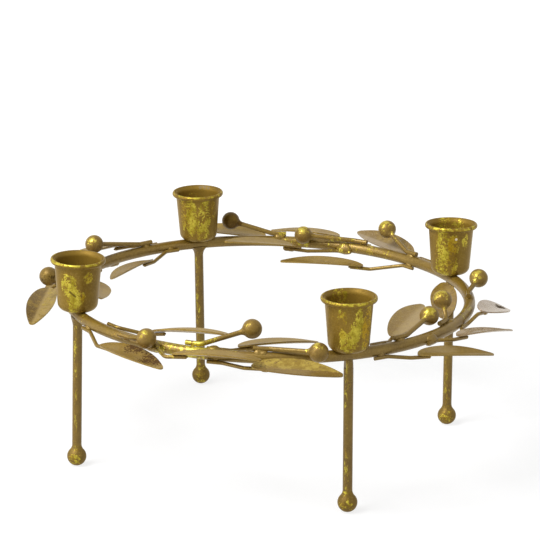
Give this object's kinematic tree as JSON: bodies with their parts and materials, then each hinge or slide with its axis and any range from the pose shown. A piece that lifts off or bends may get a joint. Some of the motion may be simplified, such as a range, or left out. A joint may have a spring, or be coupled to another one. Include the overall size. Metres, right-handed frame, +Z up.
{
  "type": "advent candle holder",
  "caption": "Welded metal wreath candle holder: a round rod ring on ball-footed legs, with tapered candle cups and leaf and berry sprigs along it.",
  "frame": {"origin": "on the ring's axis at floor level, under the middle of the wreath", "axes": "+Z up; +X to the right cup and +Y to the back cup, so that the cups stand on the X and Y axes"},
  "size_m": [0.2526, 0.2742, 0.1152],
  "materials": {
    "frame_gold": "semi-gloss antique gold paint, worn, with flecks of bright gold leaf",
    "cup_gold": "semi-gloss antique gold paint with large torn patches of bright gold leaf and worn rims",
    "leaf_gold": "satin brushed sandy gold paint with worn pale edges",
    "ball_gold": "gloss antique gold paint with bright gold leaf on top"
  },
  "bodies": {
    "root": {"wreath_ring": "frame_gold", "cup_right": "cup_gold", "leg_right": "frame_gold", "foot_right": "ball_gold", "cup_back": "cup_gold", "leg_back": "frame_gold", "foot_back": "ball_gold", "cup_left": "cup_gold", "leg_left": "frame_gold", "foot_left": "ball_gold", "cup_front": "cup_gold", "leg_front": "frame_gold", "foot_front": "ball_gold", "leaf_back_right_1": "leaf_gold", "leaf_back_right_2": "leaf_gold", "leaf_back_right_3": "leaf_gold", "leaf_back_right_4": "leaf_gold", "leaf_back_right_5": "leaf_gold", "leaf_stems_back_right": "frame_gold", "berry_back_right_1": "ball_gold", "berry_back_right_2": "ball_gold", "berry_back_right_3": "ball_gold", "berry_stems_back_right": "frame_gold", "leaf_back_left_1": "leaf_gold", "leaf_back_left_2": "leaf_gold", "leaf_back_left_3": "leaf_gold", "leaf_back_left_4": "leaf_gold", "leaf_back_left_5": "leaf_gold", "leaf_stems_back_left": "frame_gold", "berry_back_left_1": "ball_gold", "berry_back_left_2": "ball_gold", "berry_back_left_3": "ball_gold", "berry_stems_back_left": "frame_gold", "leaf_front_left_1": "leaf_gold", "leaf_front_left_2": "leaf_gold", "leaf_front_left_3": "leaf_gold", "leaf_front_left_4": "leaf_gold", "leaf_front_left_5": "leaf_gold", "leaf_stems_front_left": "frame_gold", "berry_front_left_1": "ball_gold", "berry_front_left_2": "ball_gold", "berry_front_left_3": "ball_gold", "berry_stems_front_left": "frame_gold", "leaf_front_right_1": "leaf_gold", "leaf_front_right_2": "leaf_gold", "leaf_front_right_3": "leaf_gold", "leaf_front_right_4": "leaf_gold", "leaf_front_right_5": "leaf_gold", "leaf_stems_front_right": "frame_gold", "berry_front_right_1": "ball_gold", "berry_front_right_2": "ball_gold", "berry_front_right_3": "ball_gold", "berry_stems_front_right": "frame_gold"}
  },
  "joints": []
}
